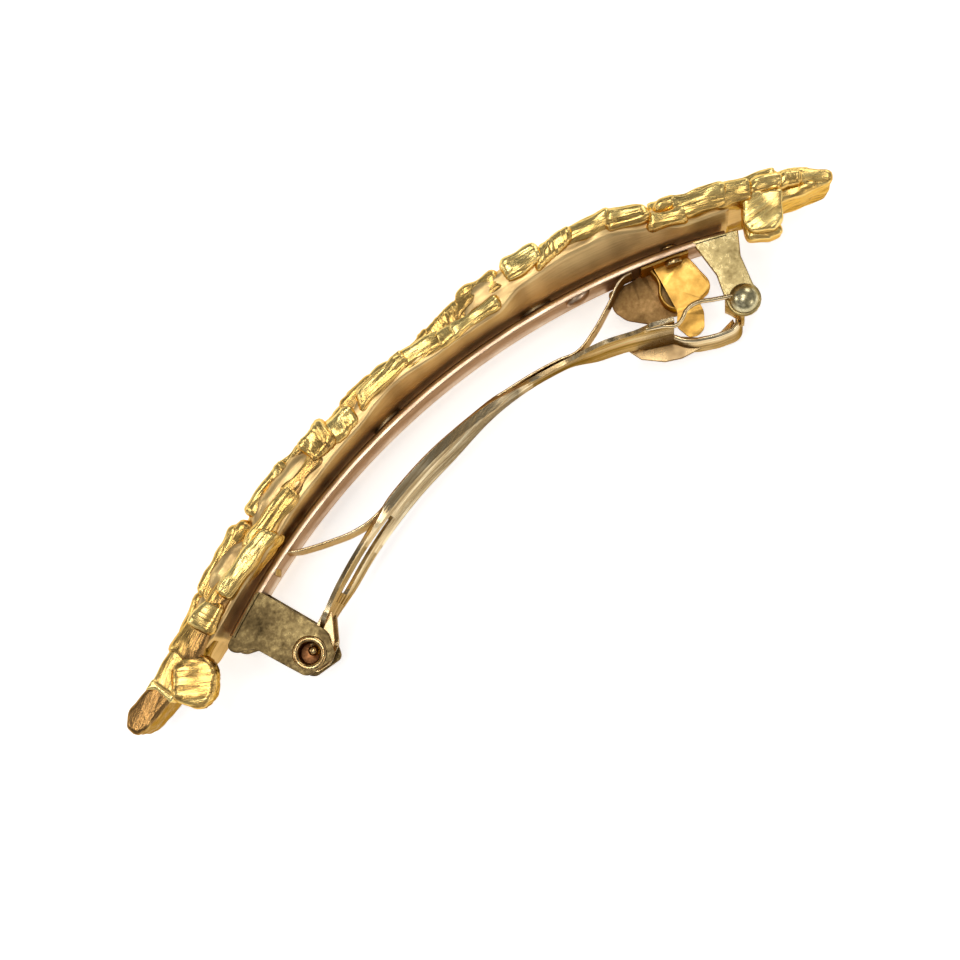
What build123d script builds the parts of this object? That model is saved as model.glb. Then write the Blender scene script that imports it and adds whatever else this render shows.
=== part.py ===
from build123d import *
import math
import os

os.makedirs("parts", exist_ok=True)

# A spring barrette lying on its long edge. X runs from the hinge end to the latch end, Y runs
# outward from the cast front, and Z runs across the width. All sizes are in millimetres.

# Cast front
casting_length = 94.6
casting_width = 17.0
casting_radius = 83.1
casting_crown_x = 4.0
casting_crown_y = 6.2
mid_z = casting_width / 2

# Base bar and its ears
bar_radius = 82.0
bar_crown_x = 4.0
bar_crown_y = 5.1
bar_sheet = 0.7
bar_width = 5.6
bar_start_x = -34.0
bar_end_x = 35.4
ear_sheet = 0.6
side_z = bar_width / 2

# Hinge
pivot_x = -27.2
pivot_y = -9.7
rivet_radius = 1.45
rivet_bore_radius = 1.1
rivet_bore_depth = 4.4
rivet_head_radius = 1.85
running_clearance = 0.05

# Clasp arm
arm_sheet = 0.5
arm_crown_x = 3.0
arm_crown_y = -0.55
arm_radius = 52.0
arm_half_width = 3.7
lug_sheet = 0.55
side_gap = 0.15

# Tension bow
bow_sheet = 0.3
bow_width = 3.2

# Catch and stop
catch_sheet = 0.4
catch_gap = 0.05
catch_start_x = 25.6
catch_end_x = 30.6
catch_near_z = 1.6
catch_far_z = -2.9
stop_x = 31.9
stop_y = -7.5
stop_radius = 1.6


def arc_height(x, crown_x, crown_y, radius):
    """Height of an arch of the given radius at x, its crown at (crown_x, crown_y)."""
    return crown_y - radius + math.sqrt(radius**2 - (x - crown_x) ** 2)


def arched_strip(crown_x, crown_y, radius, start_x, end_x, thickness):
    """Side profile of a strip bent to an arch: its underside passes through the crown."""
    stations = (start_x, (start_x + end_x) / 2, end_x)
    low = [(x, arc_height(x, crown_x, crown_y, radius)) for x in stations]
    outer = radius + thickness
    top = [(x, arc_height(x, crown_x, crown_y + thickness, outer)) for x in stations]
    with BuildSketch() as profile:
        with BuildLine():
            ThreePointArc(low[0], low[1], low[2])
            Line(low[2], top[2])
            ThreePointArc(top[2], top[1], top[0])
            Line(top[0], low[0])
        make_face()
    return profile.sketch


def bar_height(x):
    """Underside of the base bar at x."""
    return arc_height(x, bar_crown_x, bar_crown_y, bar_radius)


def casting_height(x):
    """Back of the casting at x."""
    return arc_height(x, casting_crown_x, casting_crown_y, casting_radius)


def bar_normal_plane(x):
    """Plane on the bar's underside at x and mid width, facing outward through the bar."""
    lean = (x - bar_crown_x) / bar_radius
    rise = math.sqrt(1 - lean**2)
    return Plane(origin=(x, bar_height(x), mid_z), x_dir=(rise, -lean, 0), z_dir=(lean, rise, 0))


# --- Cast front: an arched bark-textured plate with a raised knot, two end blocks and blunt tips.
# Its back is a shallow rib along the middle, between two side strips that stand further out.
half_length = casting_length / 2
tip_half_width = 2.6
shoulder_x = 38.0
shoulder_half_width = 6.4
rib_half_width = 3.2
back_step = 1.3
back_line_hinge = [(-half_length, -4.7), (-36.0, casting_height(-36.0))]
back_line_latch = [(37.0, casting_height(37.0)), (half_length, -3.2)]
front_line_latch = [(half_length, -2.0), (43.5, 0.6), (38.0, 3.2)]
front_line_hinge = [(-38.0, 1.6), (-43.0, -1.2), (-half_length, -3.0)]
front_crown = (2.0, 10.6)
knot_centre = (11.0, 10.0)
knot_size = (4.4, 3.4)
hinge_block = Location((-39.0, -3.6), -10)
latch_block = Location((39.8, -0.6), -20)

with BuildPart() as casting:
    with BuildSketch():
        with BuildLine():
            Line(back_line_hinge[0], back_line_hinge[1])
            ThreePointArc(back_line_hinge[1], (casting_crown_x, casting_crown_y),
                          back_line_latch[0])
            Line(back_line_latch[0], back_line_latch[1])
            Polyline(back_line_latch[1], *front_line_latch)
            ThreePointArc(front_line_latch[-1], front_crown, front_line_hinge[0])
            Polyline(*front_line_hinge, back_line_hinge[0])
        make_face()
    extrude(amount=casting_width)
    with BuildSketch(Plane.XZ):
        with BuildLine():
            for side in (1, -1):
                tip_z = mid_z + side * tip_half_width
                shoulder_z = mid_z + side * shoulder_half_width
                Line((-half_length, tip_z), (-shoulder_x, shoulder_z))
                ThreePointArc((-shoulder_x, shoulder_z), (0, mid_z + side * mid_z),
                              (shoulder_x, shoulder_z))
                Line((shoulder_x, shoulder_z), (half_length, tip_z))
            for end_x in (-half_length, half_length):
                Line((end_x, mid_z - tip_half_width), (end_x, mid_z + tip_half_width))
        make_face()
    extrude(amount=casting_width, both=True, mode=Mode.INTERSECT)
    for strip_z in (0, mid_z + rib_half_width):
        with BuildSketch(Plane.XY.offset(strip_z)):
            add(arched_strip(casting_crown_x, casting_crown_y - back_step,
                             casting_radius - back_step, -36.0, 37.0, 2 * back_step))
        extrude(amount=mid_z - rib_half_width, mode=Mode.SUBTRACT)
    with BuildSketch(Plane.XY.offset(casting_width - 6.5)):
        with Locations(knot_centre):
            Rectangle(*knot_size)
    extrude(amount=4.5)
    with BuildSketch(Plane.XY.offset(casting_width - 5.4)):
        with Locations(hinge_block):
            Rectangle(4.4, 7.0)
        with Locations(latch_block):
            Rectangle(3.8, 5.2)
    extrude(amount=2.6)

casting.part.label = "casting"
export_step(casting.part, "parts/casting.step")

# --- Solder pads: two beads that hold the bar to the back of the casting
pad_radius = 1.9
pad_positions = (-6.0, 14.0)

with BuildPart() as solder_pads:
    with BuildSketch():
        for pad_x in pad_positions:
            stations = (pad_x - pad_radius, pad_x, pad_x + pad_radius)
            low = [(x, arc_height(x, bar_crown_x, bar_crown_y + bar_sheet, bar_radius + bar_sheet))
                   for x in stations]
            top = [(x, casting_height(x)) for x in stations]
            with BuildLine():
                ThreePointArc(low[0], low[1], low[2])
                Line(low[2], top[2])
                ThreePointArc(top[2], top[1], top[0])
                Line(top[0], low[0])
            make_face()
    extrude(amount=casting_width)
    with BuildSketch(Plane.XZ):
        with Locations(*[(pad_x, mid_z) for pad_x in pad_positions]):
            Circle(pad_radius)
    extrude(amount=casting_width, both=True, mode=Mode.INTERSECT)

solder_pads.part.label = "solder_pads"
export_step(solder_pads.part, "parts/solder_pads.step")

# --- Base bar: arched sheet with two folded hinge ears and one folded latch ear
catch_rivet_x = 29.0
catch_rivet_radius = 0.55
catch_rivet_side = -0.8
hinge_ear = [(-33.9, bar_height(-33.9) + 0.35), (-27.7, bar_height(-27.7) + 0.35),
             (-24.2, -9.1), (-25.4, -11.7), (-28.9, -11.6), (-30.2, -8.8), (-31.6, -5.7),
             (-33.6, -5.0)]
latch_ear = [(31.4, bar_height(31.4) + 0.35), (35.3, bar_height(35.3) + 0.35), (34.1, -4.0),
             (33.4, -7.3), (30.4, -7.3), (31.2, -3.2)]

with BuildPart() as base_bar:
    with BuildSketch(Plane.XY.offset(mid_z - side_z)):
        add(arched_strip(bar_crown_x, bar_crown_y, bar_radius, bar_start_x, bar_end_x, bar_sheet))
    extrude(amount=bar_width)
    for ear_z in (mid_z - side_z, mid_z + side_z - ear_sheet):
        with BuildSketch(Plane.XY.offset(ear_z)) as ear_face:
            with BuildLine():
                Polyline(*hinge_ear, close=True)
            make_face()
            fillet(ear_face.vertices().group_by(Axis.Y)[0], 1.2)
            with Locations((pivot_x, pivot_y)):
                Circle(rivet_radius, mode=Mode.SUBTRACT)
        extrude(amount=ear_sheet)
    with BuildSketch(Plane.XY.offset(mid_z + side_z - ear_sheet)):
        with BuildLine():
            Polyline(*latch_ear, close=True)
        make_face()
        with Locations((stop_x, stop_y)):
            Circle(stop_radius)
            Circle(stop_radius / 2, mode=Mode.SUBTRACT)
    extrude(amount=ear_sheet)
    with BuildSketch(bar_normal_plane(catch_rivet_x)):
        with Locations((0, catch_rivet_side)):
            Circle(catch_rivet_radius)
    extrude(amount=bar_sheet + 0.2, both=True, mode=Mode.SUBTRACT)

base_bar.part.label = "base_bar"
export_step(base_bar.part, "parts/base_bar.step")

# --- Hinge rivet: semi-tubular, its blind bore opening toward the near side
head_thickness = 0.35

with BuildPart() as hinge_rivet:
    with BuildSketch(Plane.XY.offset(mid_z - side_z - head_thickness)):
        with Locations((pivot_x, pivot_y)):
            Circle(rivet_head_radius)
    extrude(amount=head_thickness)
    with BuildSketch(Plane.XY.offset(mid_z - side_z)):
        with Locations((pivot_x, pivot_y)):
            Circle(rivet_radius)
    extrude(amount=bar_width)
    with BuildSketch(Plane.XY.offset(mid_z + side_z)):
        with Locations((pivot_x, pivot_y)):
            Circle(rivet_head_radius)
    extrude(amount=head_thickness)
    rim_z = mid_z + side_z + head_thickness
    with BuildSketch(Plane.XY.offset(rim_z)):
        with Locations((pivot_x, pivot_y)):
            Circle(rivet_bore_radius)
    extrude(amount=-rivet_bore_depth, mode=Mode.SUBTRACT)

hinge_rivet.part.label = "hinge_rivet"
export_step(hinge_rivet.part, "parts/hinge_rivet.step")

# --- Clasp arm: arched sheet with a slot, two stiffening lips, folded lugs and a looped head
neck_start_x = -25.3
strip_start_x = -23.0
head_start_x = 24.2
slot_range = (-20.8, -11.6)
slot_width = 2.8
lip_range = (-10.8, 7.0)
lip_height = 0.9
lug_side = side_z - ear_sheet - side_gap
plan_stations = [(strip_start_x, 3.3), (-20.0, arm_half_width), (-6.0, arm_half_width),
                 (8.0, 2.0), (12.5, 1.9), (17.5, 3.3), (20.4, 2.7), (22.6, 4.4),
                 (25.4, 4.8), (31.3, 3.2)]
near_rail = [(22.6, -4.55), (24.4, -5.35), (26.0, -4.75), (28.0, -4.95), (31.3, -6.6)]
far_rail = [(22.6, -4.55), (24.0, -5.6), (25.2, -7.2), (27.4, -8.4), (29.6, -8.8), (31.3, -8.3)]


def bent_strip(points, thickness, bend):
    """Side profile of a strip along a bent line: the line is its outer face."""
    lifted = [(x, y + thickness) for x, y in reversed(points)]
    with BuildSketch() as profile:
        with BuildLine():
            FilletPolyline(*points, radius=bend)
            Line(points[-1], lifted[0])
            FilletPolyline(*lifted, radius=bend)
            Line(lifted[-1], points[0])
        make_face()
    return profile.sketch


with BuildPart() as clasp_arm:
    with BuildSketch(Plane.XY.offset(mid_z - arm_half_width - 2)):
        add(arched_strip(arm_crown_x, arm_crown_y, arm_radius, strip_start_x, head_start_x,
                         arm_sheet))
    extrude(amount=2 * arm_half_width + 4)
    with BuildSketch(Plane.XY.offset(mid_z - 4.8)):
        add(bent_strip(far_rail, arm_sheet, 0.6))
    extrude(amount=2.6)
    with BuildSketch(Plane.XZ):
        with BuildLine():
            for side in (1, -1):
                Polyline(*[(x, mid_z + side * half) for x, half in plan_stations])
            for end in (0, -1):
                end_x, half = plan_stations[end]
                Line((end_x, mid_z - half), (end_x, mid_z + half))
        make_face()
    extrude(amount=20, both=True, mode=Mode.INTERSECT)
    with BuildSketch(Plane.XZ):
        with Locations((sum(slot_range) / 2, mid_z)):
            SlotOverall(slot_range[1] - slot_range[0], slot_width)
    extrude(amount=20, both=True, mode=Mode.SUBTRACT)
    for lip_z in (mid_z - arm_half_width + 0.25, mid_z + arm_half_width - 0.25 - 0.4):
        with BuildSketch(Plane.XY.offset(lip_z)):
            add(arched_strip(arm_crown_x, arm_crown_y, arm_radius, lip_range[0], lip_range[1],
                             lip_height + arm_sheet))
        extrude(amount=0.4)
    with BuildSketch(Plane.XY.offset(mid_z + 1.1)):
        add(bent_strip(near_rail, arm_sheet, 0.6))
    extrude(amount=0.9)
    with BuildSketch(Plane.YZ.offset(30.8)):
        with BuildLine():
            Polyline((-6.35, mid_z + 2.0), (-8.65, mid_z - 3.2), (-8.15, mid_z - 3.2),
                     (-5.85, mid_z + 2.0), close=True)
        make_face()
    extrude(amount=0.5)
    with BuildSketch(Plane.XY.offset(mid_z - lug_side)):
        add(arched_strip(arm_crown_x, arm_crown_y, arm_radius, neck_start_x, strip_start_x + 0.5,
                         arm_sheet))
    extrude(amount=2 * lug_side)
    for lug_z in (mid_z - lug_side, mid_z + lug_side - lug_sheet):
        with BuildSketch(Plane.XY.offset(lug_z)):
            with BuildLine():
                Polyline((pivot_x - 0.4, pivot_y + 1.9), (neck_start_x, -7.85), (-22.6, -6.9),
                         (-22.6, -7.4), (-24.6, -10.4), (pivot_x, pivot_y - 1.9), close=True)
            make_face()
            with Locations((pivot_x, pivot_y)):
                Circle(2.0)
                Circle(rivet_radius + running_clearance, mode=Mode.SUBTRACT)
        extrude(amount=lug_sheet)

clasp_arm.part.label = "clasp_arm"
export_step(clasp_arm.part, "parts/clasp_arm.step")

# --- Tension bow: thin strip hooked under the bar at both ends, bearing on the arm at mid length
bow_gap = 0.12


def bow_seat(x):
    """Mid-thickness height of the bow where it lies along the arm."""
    seat = arm_sheet + bow_gap + bow_sheet / 2
    return arc_height(x, arm_crown_x, arm_crown_y + seat, arm_radius + seat)


bow_line = [(-25.6, bar_height(-25.6) - 0.2), (-22.8, bar_height(-22.8) - 0.55), (-18.6, -0.75),
            (-14.6, -1.75), (-10.0, bow_seat(-10.0) + 0.08), (0.0, bow_seat(0.0)),
            (10.0, bow_seat(10.0)), (14.2, -0.95), (18.0, -0.15), (21.4, 1.75),
            (24.9, bar_height(24.9) - 0.2)]

with BuildPart() as tension_bow:
    with BuildSketch(Plane.XY.offset(mid_z - bow_width / 2)):
        with BuildLine() as bow_path:
            Spline(*bow_line)
        trace(bow_path.line, line_width=bow_sheet)
    extrude(amount=bow_width)

tension_bow.part.label = "tension_bow"
export_step(tension_bow.part, "parts/tension_bow.step")

# --- Latch catch: one spring-sheet stamping with a riveted web, a tongue that stands in the arm's
# window, and a far wall that ends in a rounded finger tab
tongue = [(26.9, 1.75), (30.4, 0.65), (30.2, -3.9), (28.2, -4.2), (28.1, -5.7), (27.0, -7.2),
          (25.3, -7.2), (24.95, -5.1), (26.0, -3.9), (26.6, -0.5)]
far_wall = [(30.4, 0.65), (25.7, 2.0), (24.4, 2.1), (21.6, 2.75), (20.9, 0.6), (21.9, -1.3),
            (23.4, -2.9), (25.0, -3.0), (25.9, -1.6), (30.3, -0.9)]

with BuildPart() as latch_catch:
    with BuildSketch(Plane.XY.offset(mid_z + catch_far_z)):
        add(arched_strip(bar_crown_x, bar_crown_y - catch_gap - catch_sheet,
                         bar_radius - catch_gap - catch_sheet, catch_start_x, catch_end_x,
                         catch_sheet))
    extrude(amount=catch_near_z - catch_far_z)
    with BuildSketch(Plane.XY.offset(mid_z + catch_far_z)) as wall_face:
        with BuildLine():
            Polyline(*far_wall, close=True)
        make_face()
        fillet(wall_face.vertices().group_by(Axis.X)[0], 0.8)
        fillet(wall_face.vertices().group_by(Axis.Y)[0], 0.6)
    extrude(amount=catch_sheet)
    with BuildSketch(Plane.XY.offset(mid_z - 0.9)):
        with BuildLine():
            Polyline(*tongue, close=True)
        make_face()
    extrude(amount=catch_sheet)
    with BuildSketch(bar_normal_plane(catch_rivet_x)):
        with Locations((0, catch_rivet_side)):
            Circle(catch_rivet_radius + 0.12)
    extrude(amount=-1.5, mode=Mode.SUBTRACT)

latch_catch.part.label = "latch_catch"
export_step(latch_catch.part, "parts/latch_catch.step")

# --- Catch rivet: shank through bar and web, a flat head under the web, a thin head above the bar
catch_head_radius = 0.95
under_gap = 0.15

with BuildPart() as catch_rivet:
    under = bar_normal_plane(catch_rivet_x).offset(-catch_gap - catch_sheet - under_gap)
    over = bar_normal_plane(catch_rivet_x).offset(bar_sheet)
    with BuildSketch(under):
        with Locations((0, catch_rivet_side)):
            Circle(catch_head_radius)
    extrude(amount=-0.45)
    with BuildSketch(under):
        with Locations((0, catch_rivet_side)):
            Circle(catch_rivet_radius)
    extrude(amount=bar_sheet + catch_gap + catch_sheet + under_gap)
    with BuildSketch(over):
        with Locations((0, catch_rivet_side)):
            Circle(catch_head_radius)
    extrude(amount=0.25)

catch_rivet.part.label = "catch_rivet"
export_step(catch_rivet.part, "parts/catch_rivet.step")

# --- Stop stud: domed head on the latch ear, its shank spun flush inside the ear
with BuildPart() as stop_stud:
    with BuildSketch(Plane.XY.offset(mid_z + side_z - ear_sheet)):
        with Locations((stop_x, stop_y)):
            Circle(stop_radius / 2)
    extrude(amount=ear_sheet)
    with Locations((stop_x, stop_y, mid_z + side_z)):
        Sphere(stop_radius, arc_size1=0, align=(Align.CENTER, Align.CENTER, Align.MIN))

stop_stud.part.label = "stop_stud"
export_step(stop_stud.part, "parts/stop_stud.step")
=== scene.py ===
import math
import random

import bmesh
import bpy
from mathutils import Matrix, Vector, noise


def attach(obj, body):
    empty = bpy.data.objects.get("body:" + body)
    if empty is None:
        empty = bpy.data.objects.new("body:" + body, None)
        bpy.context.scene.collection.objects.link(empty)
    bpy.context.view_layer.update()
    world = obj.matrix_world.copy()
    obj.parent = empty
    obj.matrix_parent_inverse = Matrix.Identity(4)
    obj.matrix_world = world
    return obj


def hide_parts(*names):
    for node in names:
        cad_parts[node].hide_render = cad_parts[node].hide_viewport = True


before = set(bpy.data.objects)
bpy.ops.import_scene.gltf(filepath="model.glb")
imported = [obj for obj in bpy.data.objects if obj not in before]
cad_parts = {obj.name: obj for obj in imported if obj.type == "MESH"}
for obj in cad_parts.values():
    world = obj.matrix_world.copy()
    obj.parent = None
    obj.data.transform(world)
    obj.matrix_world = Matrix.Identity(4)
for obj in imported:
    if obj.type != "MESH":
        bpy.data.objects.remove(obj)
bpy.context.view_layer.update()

# --- Studio: the barrette lies on its long edge on a plain pale floor, under soft panels.
# The camera looks down on that edge, a little from the clip's side.
mm = 0.001
mid_z = 8.5
view_point = Vector((-1.89, -5.58, mid_z)) * mm
view_distance = 200 * mm
view_lean = Vector((-0.018, -0.136))
view_roll = math.radians(37.4)

camera_back = Vector((view_lean.x, view_lean.y, math.sqrt(1 - view_lean.length_squared)))
camera_right = Vector((math.cos(view_roll), -math.sin(view_roll), 0))
camera_right = (camera_right - camera_back * camera_right.dot(camera_back)).normalized()
camera_up = camera_back.cross(camera_right)
camera_turn = Matrix((camera_right, camera_up, camera_back)).transposed()
camera_data = bpy.data.cameras.new("camera")
camera_data.lens = 70.1
camera_data.sensor_width = 36
camera_data.clip_start = 0.01
camera = bpy.data.objects.new("camera", camera_data)
camera_place = Matrix.Translation(view_point + camera_back * view_distance)
camera.matrix_world = camera_place @ camera_turn.to_4x4()
bpy.context.scene.collection.objects.link(camera)
bpy.context.scene.camera = camera
bpy.context.scene.view_settings.view_transform = "Standard"


def add_node(tree, kind, **settings):
    """Adds a shader node; a setting names a property of it, or an input by its name or number."""
    node = tree.nodes.new(kind)
    for key, value in settings.items():
        if hasattr(node, key):
            setattr(node, key, value)
        else:
            node.inputs[key.replace("_", " ")].default_value = value
    return node


def new_object(bm, name, *materials, smooth=True):
    """Puts a finished bmesh into the scene as an object at the origin."""
    mesh = bpy.data.meshes.new(name)
    bmesh.ops.recalc_face_normals(bm, faces=bm.faces)
    bm.to_mesh(mesh)
    bm.free()
    for material in materials:
        mesh.materials.append(material)
    mesh.polygons.foreach_set("use_smooth", [smooth] * len(mesh.polygons))
    piece = bpy.data.objects.new(name, mesh)
    bpy.context.scene.collection.objects.link(piece)
    return piece


floor_material = bpy.data.materials.new("pale_floor")
floor_material.use_nodes = True
floor_shader = floor_material.node_tree.nodes["Principled BSDF"]
floor_shader.inputs["Base Color"].default_value = (0.93, 0.93, 0.93, 1)
floor_shader.inputs["Roughness"].default_value = 0.9
floor_shader.inputs["Emission Color"].default_value = (1, 1, 1, 1)
floor_shader.inputs["Emission Strength"].default_value = 0.62
floor_bm = bmesh.new()
bmesh.ops.create_grid(floor_bm, x_segments=1, y_segments=1, size=3)
floor = new_object(floor_bm, "floor", floor_material, smooth=False)

world = bpy.data.worlds.new("studio")
world.use_nodes = True
bpy.context.scene.world = world
world_tree = world.node_tree
sky_place = add_node(world_tree, "ShaderNodeTexCoord")
sky_noise = add_node(world_tree, "ShaderNodeTexNoise", Scale=2.6, Detail=1.0, Roughness=0.4)
sky_tones = add_node(world_tree, "ShaderNodeValToRGB")
sky_tones.color_ramp.elements[0].position = 0.42
sky_tones.color_ramp.elements[0].color = (0.05, 0.045, 0.04, 1)
sky_tones.color_ramp.elements[1].position = 0.66
sky_tones.color_ramp.elements[1].color = (0.95, 0.95, 0.95, 1)
world_tree.links.new(sky_place.outputs["Generated"], sky_noise.inputs["Vector"])
world_tree.links.new(sky_noise.outputs["Fac"], sky_tones.inputs["Fac"])
world_tree.links.new(sky_tones.outputs["Color"], world_tree.nodes["Background"].inputs["Color"])
world_tree.nodes["Background"].inputs["Strength"].default_value = 0.7


def soft_panel(name, place, size, power, colour=(1, 1, 1)):
    """A square soft light at a place in metres, facing the barrette."""
    lamp = bpy.data.lights.new(name, "AREA")
    lamp.shape = "SQUARE"
    lamp.size = size
    lamp.energy = power
    lamp.color = colour
    panel = bpy.data.objects.new(name, lamp)
    facing = (Vector(place) - view_point).to_track_quat("Z", "Y").to_matrix().to_4x4()
    panel.matrix_world = Matrix.Translation(place) @ facing
    bpy.context.scene.collection.objects.link(panel)


soft_panel("panel_over", (0.04, 0.12, 0.60), 0.16, 0.55, (1.0, 0.98, 0.95))
soft_panel("panel_beside", (-0.16, -0.02, 0.55), 0.10, 0.30, (1.0, 0.98, 0.94))
soft_panel("panel_left", (-0.45, 0.30, 0.35), 0.20, 0.5, (1.0, 0.98, 0.95))
soft_panel("panel_top", (-0.03, 0.0, 0.55), 0.06, 0.20, (1.0, 0.98, 0.94))
soft_panel("panel_right", (0.38, 0.20, 0.26), 0.18, 0.45, (1.0, 0.97, 0.92))
soft_panel("panel_clip_side", (0.25, -0.50, 0.30), 0.20, 0.45, (1.0, 0.96, 0.92))


# --- Casting, back plate: the cast front's arched plate, of gold-toned cast metal. Its back is
# polished along its length; a shallow rib carries the bar, and the rims stand further out.
casting_crown = (4.0, 7.5)
casting_radius = 84.4


def arch_point(along, out, z, crown=casting_crown, radius=casting_radius):
    """Place of a point from its length along the arch, its height out of it, and z, all in mm."""
    angle = (along - crown[0]) / radius
    x = crown[0] + (radius + out) * math.sin(angle)
    y = crown[1] - radius + (radius + out) * math.cos(angle)
    return Vector((x, y, z)) * mm


def between(stations, at):
    """Smoothly eased value between (place, value) stations."""
    for (low, low_value), (high, high_value) in zip(stations, stations[1:]):
        if at <= high:
            share = max(0.0, (at - low) / (high - low))
            share = share * share * (3 - 2 * share)
            return low_value + (high_value - low_value) * share
    return stations[-1][1]


def box_grid(length_cuts, height_cuts, width_cuts):
    """A cube from 0 to 1 on each axis, cut into a grid."""
    bm = bmesh.new()
    bmesh.ops.create_cube(bm, size=1, matrix=Matrix.Translation((0.5, 0.5, 0.5)))
    for axis, cuts in enumerate((length_cuts, height_cuts, width_cuts)):
        edges = [e for e in bm.edges if abs((e.verts[0].co - e.verts[1].co)[axis]) > 1e-6]
        if cuts:
            bmesh.ops.subdivide_edges(bm, edges=edges, cuts=cuts, use_grid_fill=True)
    return bm


def gold_finish(name, deep, middle, pale, grain_scale, grain_bump, roughness, edge_tint,
                mottle=0.15):
    """Cast gold tone: painted shade brown in the recesses and painted highlight pale on the crests,
    with grain along the piece.
    """
    material = bpy.data.materials.new(name)
    material.use_nodes = True
    tree = material.node_tree
    shader = tree.nodes["Principled BSDF"]
    shader.inputs["Metallic"].default_value = 1.0
    shader.inputs["Specular Tint"].default_value = (*edge_tint, 1)
    grain_place = add_node(tree, "ShaderNodeAttribute", attribute_name="grain")
    stretch = add_node(tree, "ShaderNodeVectorMath", operation="MULTIPLY")
    stretch.inputs[1].default_value = grain_scale
    grain = add_node(tree, "ShaderNodeTexNoise", Scale=1.0, Detail=4.0, Roughness=0.65)
    # Tone attribute: the piece's own tone, with painted shade in recesses and painted highlight on
    # crests.
    tone_and_painted_shading = add_node(tree, "ShaderNodeAttribute", attribute_name="tone_and_painted_shading")
    place = add_node(tree, "ShaderNodeTexCoord")
    cloud = add_node(tree, "ShaderNodeTexNoise", Scale=420.0, Detail=3.0, Roughness=0.6)
    grain_share = add_node(tree, "ShaderNodeMath", operation="MULTIPLY")
    grain_share.inputs[1].default_value = 0.22
    tone_shading_share = add_node(tree, "ShaderNodeMath", operation="MULTIPLY_ADD")
    tone_shading_share.inputs[1].default_value = 0.65
    cloud_share = add_node(tree, "ShaderNodeMath", operation="MULTIPLY_ADD")
    cloud_share.inputs[1].default_value = mottle
    tones = add_node(tree, "ShaderNodeValToRGB")
    tones.color_ramp.elements[0].position = 0.32
    tones.color_ramp.elements[0].color = (*deep, 1)
    tones.color_ramp.elements[1].position = 0.72
    tones.color_ramp.elements[1].color = (*pale, 1)
    tones.color_ramp.elements.new(0.48).color = (*middle, 1)
    gloss = add_node(tree, "ShaderNodeMapRange")
    gloss.inputs["From Min"].default_value = 0.3
    gloss.inputs["From Max"].default_value = 0.7
    gloss.inputs["To Min"].default_value = roughness[1]
    gloss.inputs["To Max"].default_value = roughness[0]
    bump = add_node(tree, "ShaderNodeBump", Strength=grain_bump, Distance=0.00008)
    link = tree.links.new
    link(grain_place.outputs["Vector"], stretch.inputs[0])
    link(stretch.outputs["Vector"], grain.inputs["Vector"])
    link(place.outputs["Object"], cloud.inputs["Vector"])
    link(grain.outputs["Fac"], grain_share.inputs[0])
    link(tone_and_painted_shading.outputs["Fac"], tone_shading_share.inputs[0])
    link(grain_share.outputs["Value"], tone_shading_share.inputs[2])
    link(cloud.outputs["Fac"], cloud_share.inputs[0])
    link(tone_shading_share.outputs["Value"], cloud_share.inputs[2])
    link(cloud_share.outputs["Value"], tones.inputs["Fac"])
    link(tones.outputs["Color"], shader.inputs["Base Color"])
    link(grain.outputs["Fac"], gloss.inputs["Value"])
    link(gloss.outputs["Result"], shader.inputs["Roughness"])
    link(grain.outputs["Fac"], bump.inputs["Height"])
    link(bump.outputs["Normal"], shader.inputs["Normal"])
    return material


plate_gold = gold_finish("polished_cast_back", (0.56, 0.37, 0.16), (0.80, 0.56, 0.25),
                         (0.94, 0.70, 0.30), (0.12, 5.0, 5.0), 0.22, (0.34, 0.50),
                         (0.86, 0.68, 0.40))
plate_start = -47.6
plate_end = 47.8
full_half_width = 8.3
half_width_stations = [(-47.9, 2.6), (-44.0, 3.6), (-40.0, 5.6), (-34.0, 6.9), (-20.0, 7.9),
                       (0.0, full_half_width), (22.0, 7.9), (36.0, 6.8), (41.0, 5.6),
                       (44.5, 3.8), (48.2, 2.6)]
rim_stations = [(-47.9, 3.5), (-45.5, 2.1), (-43.0, 1.2), (-38.0, -0.7), (-33.0, -1.3),
                (-24.0, -1.9), (-18.0, -1.5), (-10.0, -1.1), (-3.0, -0.1), (3.0, -0.8), (10.0, -1.0),
                (14.0, 0.5), (20.0, 1.2), (24.0, 1.2), (28.5, 0.2), (32.0, -0.9), (38.0, -0.4),
                (43.0, 0.7), (48.2, 1.4)]
rib_out = -1.35
rib_half_width = 3.0
rib_start = -36
rib_end = 37
front_stations = [(-47.9, 3.9), (-43.6, 3.0), (-40.0, 1.8), (-36.0, 1.8), (-31.0, 2.7),
                  (-27.3, 2.6), (-25.1, 1.3), (-22.0, 2.6), (-18.0, 2.4), (-13.0, 2.1),
                  (-9.0, 1.9), (-4.0, 1.7), (0.0, 1.5), (6.0, 0.6), (8.3, 3.1), (14.0, 2.9),
                  (17.3, 2.2), (20.5, 3.0), (25.0, 3.1), (28.8, 1.8), (33.7, 2.0), (39.0, 1.6),
                  (42.4, 1.9), (45.0, 1.6), (48.2, 1.0)]
middle_front = 1.3
least_thickness = 1.2
rim_inset = 0.75


def plate_back(along, z):
    """Height of the casting's back: the rib in the middle, easing out to the rim."""
    reach = between(half_width_stations, along)
    past_rib = (abs(z - mid_z) - rib_half_width) / (reach - rib_half_width)
    toward_rim = min(1.0, max(0.0, past_rib))
    if along < rib_start or along > rib_end:
        toward_rim = 1.0
    rim = between(rim_stations, along)
    return rib_out + (rim - rib_out) * toward_rim**1.2


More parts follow.
